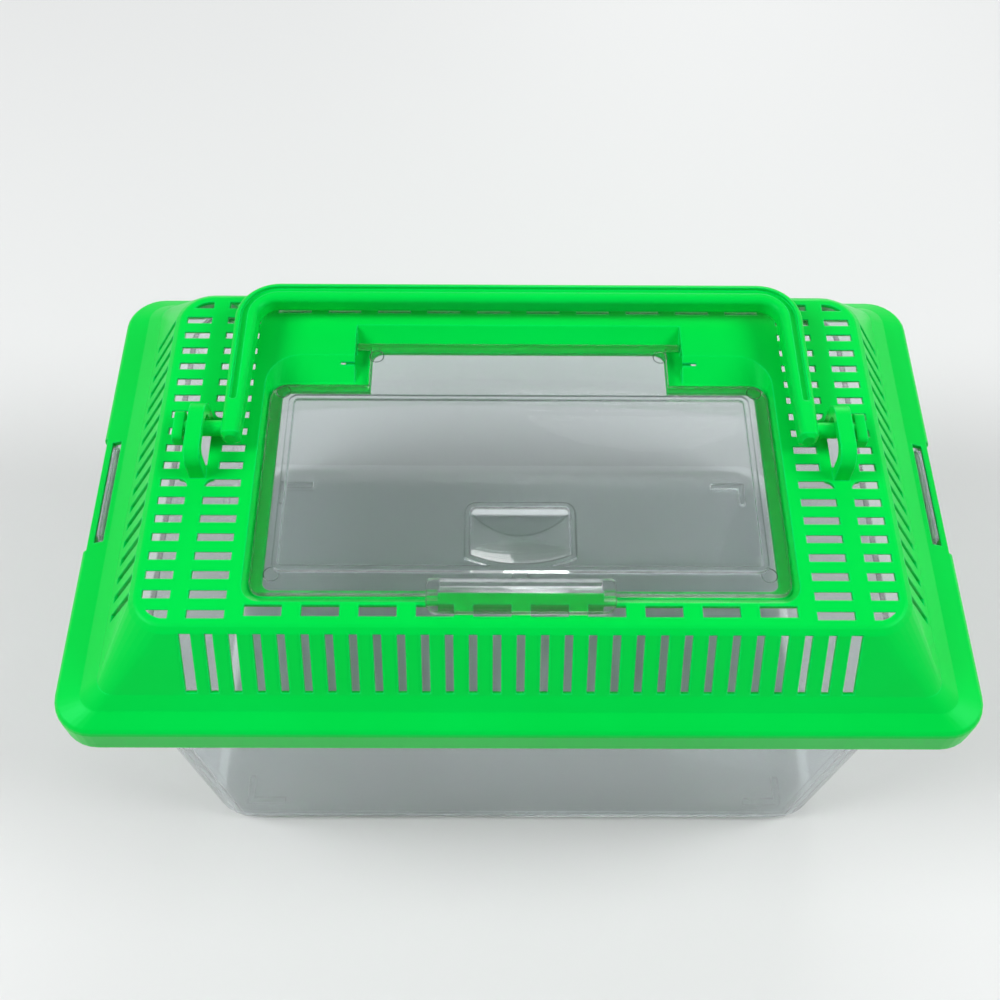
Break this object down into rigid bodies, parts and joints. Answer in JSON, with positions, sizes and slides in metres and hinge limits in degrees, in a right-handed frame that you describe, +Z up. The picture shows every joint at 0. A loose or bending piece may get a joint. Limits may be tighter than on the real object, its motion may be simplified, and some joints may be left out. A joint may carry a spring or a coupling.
{
  "type": "plastic pet keeper",
  "caption": "Clear tub with a vented lid that clips on, a clear trapdoor hinged in the lid and a folding carry handle.",
  "frame": {"origin": "middle of the footprint, at the level of the feet", "axes": "+X along the tub's length, +Y towards the back, where the door's hinge is, +Z up"},
  "size_m": [0.2434, 0.1452, 0.1256],
  "materials": {
    "clear_plastic": "clear, glossy",
    "green_plastic": "bright green, semi-gloss"
  },
  "bodies": {
    "tub": {"tank": "clear_plastic"},
    "cover": {"lid": "green_plastic"},
    "flap": {"door": "clear_plastic"},
    "bail": {"handle": "green_plastic"}
  },
  "joints": [
    {"name": "lid_lift", "type": "slide", "parent": "tub", "child": "cover", "axis": [0, 0, 1], "range_m": [0, 0.04]},
    {"name": "door_hinge", "type": "hinge", "parent": "cover", "child": "flap", "pos_m": [0, 0.037, 0.11215], "axis": [-1, 0, 0], "range_deg": [0, 105]},
    {"name": "handle_fold", "type": "hinge", "parent": "cover", "child": "bail", "pos_m": [0, 0.0023, 0.121], "axis": [1, 0, 0], "range_deg": [0, 180]}
  ]
}
